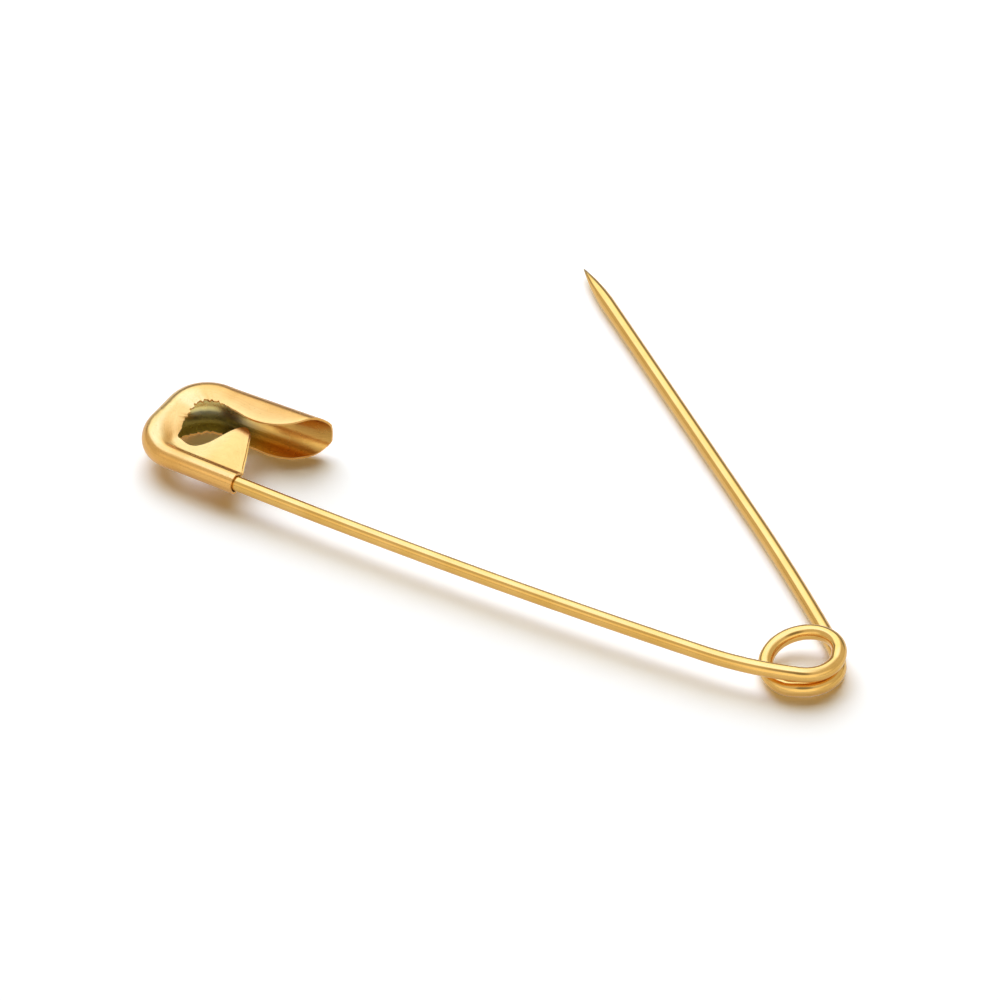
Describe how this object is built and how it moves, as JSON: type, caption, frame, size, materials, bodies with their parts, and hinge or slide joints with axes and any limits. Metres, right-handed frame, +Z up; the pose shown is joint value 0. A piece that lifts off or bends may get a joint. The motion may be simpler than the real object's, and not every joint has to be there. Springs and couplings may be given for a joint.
{
  "type": "safety pin",
  "caption": "Open safety pin of bent gold-coloured spring wire with a coil and a sharpened arm, and a folded sheet-metal cap whose trough takes the point.",
  "frame": {"origin": "centre of the bounding box at its base, the plane the pin lies on", "axes": "+X from the cap towards the coil, +Y from the back arm towards the open pin arm, +Z up from the face it lies on"},
  "size_m": [0.0616, 0.0404, 0.0041],
  "materials": {
    "wire": "polished, gold-coloured plating on drawn wire",
    "cap_sheet": "satin-smooth, gold-coloured plating on pressed sheet"
  },
  "bodies": {
    "frame": {"cap": "cap_sheet", "back_arm": "wire"},
    "coil": {"spring_coil": "wire"},
    "pin": {"pin_arm": "wire"}
  },
  "joints": [
    {"name": "pin_swing", "type": "hinge", "parent": "frame", "child": "coil", "pos_m": [0.02734, -0.01336, 0.0006], "axis": [-0.0324, -0.0454, 0.9984], "range_deg": [-20, 41.4], "stiffness_Nm_per_rad": 0.35, "deforming": ["spring_coil"]},
    {"name": "pin_flex", "type": "hinge", "parent": "coil", "child": "pin", "pos_m": [0.02734, -0.01336, 0.0006], "axis": [0.5807, 0.8141, 0], "range_deg": [-5, 3.2], "stiffness_Nm_per_rad": 0.3, "deforming": ["spring_coil"]}
  ]
}
